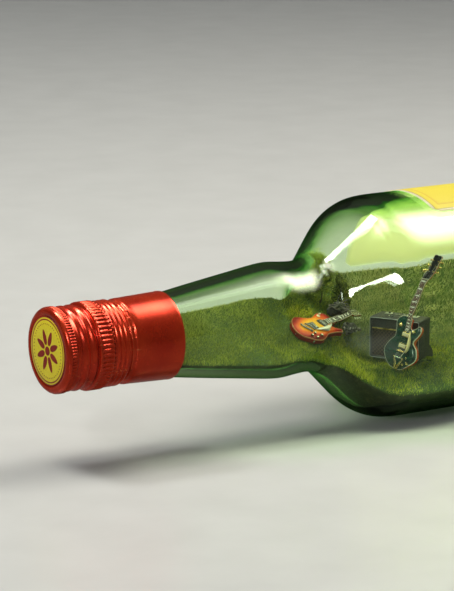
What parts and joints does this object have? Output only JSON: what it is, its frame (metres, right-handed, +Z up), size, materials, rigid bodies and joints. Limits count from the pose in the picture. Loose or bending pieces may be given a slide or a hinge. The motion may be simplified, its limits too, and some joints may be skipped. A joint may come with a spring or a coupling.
{
  "type": "glass bottle with miniature guitar landscape",
  "caption": "Green glass spirit bottle on its side with a red roll-on screw cap, holding a turf hillside with two small electric guitars and an amplifier.",
  "frame": {"origin": "on the table under the middle of the bottle's length, midway across its width", "axes": "+X along the bottle's axis from the cap to the base, +Y away from the viewer, +Z up"},
  "size_m": [0.29, 0.077, 0.0773],
  "materials": {
    "green_glass": "clear green bottle glass, gloss",
    "red_foil": "red anodised closure shell, satin gloss",
    "badge_yellow": "printed disc, satin",
    "liner_white": "soft foam liner",
    "label_paper": "yellow coated paper",
    "turf": "modelled turf over plaster",
    "foliage": "dark flock foliage",
    "foliage_light": "yellow-green flock foliage",
    "rock": "rough grey stone",
    "black_covering": "black grained covering",
    "piping_grey": "pale grey piping",
    "grille_cloth": "brown diamond cloth",
    "strip_gold": "polished strip",
    "speaker_cone": "pressed cone",
    "panel_metal": "brushed",
    "foot_rubber": "matt",
    "burst_finish": "red to amber burst under gloss",
    "mahogany": "cherry gloss",
    "rosewood": "satin board",
    "cream_plastic": "cream",
    "nickel": "nickel plate",
    "dark_plastic": "dark amber",
    "green_finish": "deep green gloss",
    "gold_plate": "gold plate",
    "gold_guard": "gold-backed guard",
    "pickup_cream": "cream and gold"
  },
  "bodies": {
    "bottle": {"bottle_glass": "green_glass", "tamper_sleeve": "red_foil", "front_label": "label_paper", "ground": "turf", "shrub": "foliage", "sapling": "foliage_light", "boulder": "rock", "stone_heap": "rock", "amp_cabinet": "black_covering", "amp_piping": "piping_grey", "amp_grille": "grille_cloth", "amp_strip": "strip_gold", "amp_upper_panel": "black_covering", "amp_back_panel": "black_covering", "amp_speaker": "speaker_cone", "amp_control_panel": "panel_metal", "amp_handle": "black_covering", "amp_foot_1": "foot_rubber", "amp_foot_2": "foot_rubber", "amp_foot_3": "foot_rubber", "amp_foot_4": "foot_rubber", "burst_body": "burst_finish", "burst_neck": "mahogany", "burst_fretboard": "rosewood", "burst_pickguard": "cream_plastic", "burst_pickup_bridge": "nickel", "burst_pickup_neck": "nickel", "burst_bridge": "nickel", "burst_tailpiece": "nickel", "burst_tuners_bass": "nickel", "burst_tuners_treble": "nickel", "jet_body": "green_finish", "jet_neck": "mahogany", "jet_fretboard": "rosewood", "jet_pickguard": "gold_guard", "jet_pickup_bridge": "pickup_cream", "jet_pickup_neck": "pickup_cream", "jet_bridge": "gold_plate", "jet_vibrato_frame": "gold_plate", "jet_tuners_bass": "gold_plate", "jet_tuners_treble": "gold_plate", "jet_strap_button": "gold_plate"},
    "cap_carrier": {"cap_liner": "liner_white"},
    "cap": {"cap_shell": "red_foil", "cap_badge": "badge_yellow"},
    "burst_knob_1_body": {"burst_knob_1": "dark_plastic"},
    "burst_knob_2_body": {"burst_knob_2": "dark_plastic"},
    "burst_knob_3_body": {"burst_knob_3": "dark_plastic"},
    "burst_knob_4_body": {"burst_knob_4": "dark_plastic"},
    "burst_selector_body": {"burst_selector": "cream_plastic"},
    "jet_knob_1_body": {"jet_knob_1": "gold_plate"},
    "jet_knob_2_body": {"jet_knob_2": "gold_plate"},
    "jet_knob_3_body": {"jet_knob_3": "gold_plate"},
    "jet_knob_4_body": {"jet_knob_4": "gold_plate"},
    "jet_selector_body": {"jet_selector": "gold_plate"},
    "jet_roller_body": {"jet_vibrato_roller": "nickel"},
    "jet_arm_body": {"jet_vibrato_arm": "nickel"}
  },
  "joints": [
    {"name": "cap_lift", "type": "slide", "parent": "bottle", "child": "cap_carrier", "axis": [-1, 0, 0], "range_m": [0, 0.0057]},
    {"name": "cap_turn", "type": "hinge", "parent": "cap_carrier", "child": "cap", "pos_m": [-0.145, 0, 0.0385], "axis": [-1, 0, 0], "range_deg": [0, 630]},
    {"name": "burst_knob_1_turn", "type": "hinge", "parent": "bottle", "child": "burst_knob_1_body", "pos_m": [-0.04516, -0.00249, 0.03181], "axis": [0.1586, -0.482, 0.8617], "range_deg": [-135, 135]},
    {"name": "burst_knob_2_turn", "type": "hinge", "parent": "bottle", "child": "burst_knob_2_body", "pos_m": [-0.04332, -0.00327, 0.03104], "axis": [0.1586, -0.482, 0.8617], "range_deg": [-135, 135]},
    {"name": "burst_knob_3_turn", "type": "hinge", "parent": "bottle", "child": "burst_knob_3_body", "pos_m": [-0.04317, -0.00135, 0.03209], "axis": [0.1586, -0.482, 0.8617], "range_deg": [-135, 135]},
    {"name": "burst_knob_4_turn", "type": "hinge", "parent": "bottle", "child": "burst_knob_4_body", "pos_m": [-0.04133, -0.00213, 0.03131], "axis": [0.1586, -0.482, 0.8617], "range_deg": [-135, 135]},
    {"name": "burst_selector_tilt", "type": "hinge", "parent": "bottle", "child": "burst_selector_body", "pos_m": [-0.03608, 0.00742, 0.03576], "axis": [-0.3177, 0.8014, 0.5067], "range_deg": [-12, 12]},
    {"name": "jet_knob_1_turn", "type": "hinge", "parent": "bottle", "child": "jet_knob_1_body", "pos_m": [-0.01561, -0.01626, 0.0208], "axis": [-0.8534, -0.4012, 0.3329], "range_deg": [-135, 135]},
    {"name": "jet_knob_2_turn", "type": "hinge", "parent": "bottle", "child": "jet_knob_2_body", "pos_m": [-0.01454, -0.01826, 0.02113], "axis": [-0.8534, -0.4012, 0.3329], "range_deg": [-135, 135]},
    {"name": "jet_knob_3_turn", "type": "hinge", "parent": "bottle", "child": "jet_knob_3_body", "pos_m": [-0.01432, -0.01723, 0.02295], "axis": [-0.8534, -0.4012, 0.3329], "range_deg": [-135, 135]},
    {"name": "jet_knob_4_turn", "type": "hinge", "parent": "bottle", "child": "jet_knob_4_body", "pos_m": [-0.01074, -0.01753, 0.03174], "axis": [-0.8534, -0.4012, 0.3329], "range_deg": [-135, 135]},
    {"name": "jet_selector_tilt", "type": "hinge", "parent": "bottle", "child": "jet_selector_body", "pos_m": [-0.01313, -0.01109, 0.03359], "axis": [-0.3643, 0.9157, 0.1698], "range_deg": [-12, 12]},
    {"name": "jet_vibrato_rock", "type": "hinge", "parent": "bottle", "child": "jet_roller_body", "pos_m": [-0.01645, -0.0143, 0.02316], "axis": [-0.3643, 0.9157, 0.1698], "range_deg": [-8, 6]},
    {"name": "jet_arm_swing", "type": "hinge", "parent": "jet_roller_body", "child": "jet_arm_body", "pos_m": [-0.01626, -0.01536, 0.02342], "axis": [-0.8534, -0.4012, 0.3329], "range_deg": [-95, 12]}
  ],
  "couplings": [
    {"joint": "cap_lift", "follows": "cap_turn", "m_per_rad": 0.0005093}
  ]
}
